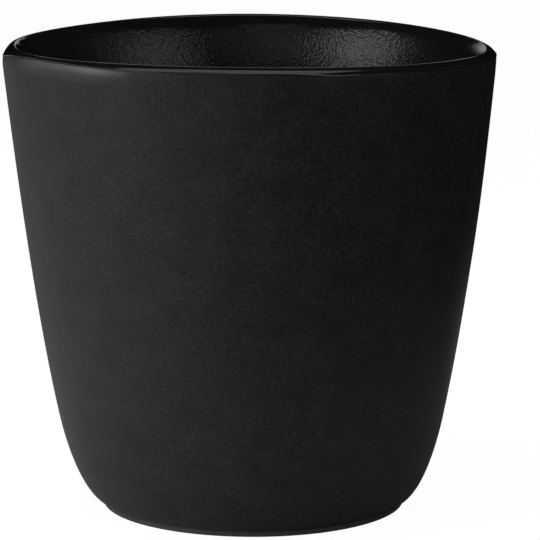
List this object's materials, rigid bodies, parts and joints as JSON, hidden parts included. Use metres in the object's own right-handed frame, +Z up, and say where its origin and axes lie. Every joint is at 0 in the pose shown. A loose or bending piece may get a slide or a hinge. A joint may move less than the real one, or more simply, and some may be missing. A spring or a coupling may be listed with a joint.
{
  "type": "mug",
  "caption": "Handle-less tapered stoneware mug on a low bare foot ring, satin-matte black outside and gloss black inside, with the gloss glaze rolled over the rounded lip.",
  "frame": {"origin": "centre of the foot ring's standing face", "axes": "+Z up along the axis that the mug is turned on; X and Y are level and interchangeable"},
  "size_m": [0.085, 0.085, 0.0817],
  "materials": {
    "stoneware_clay": "bare dark stoneware, dry and slightly gritty",
    "gloss_black_glaze": "gloss with a fine orange-peel surface",
    "matte_black_glaze": "satin matte with a fine speckle"
  },
  "bodies": {
    "root": {"stoneware_body": "stoneware_clay", "liner_glaze": "gloss_black_glaze", "outer_glaze": "matte_black_glaze", "foot_recess_glaze": "matte_black_glaze"}
  },
  "joints": []
}
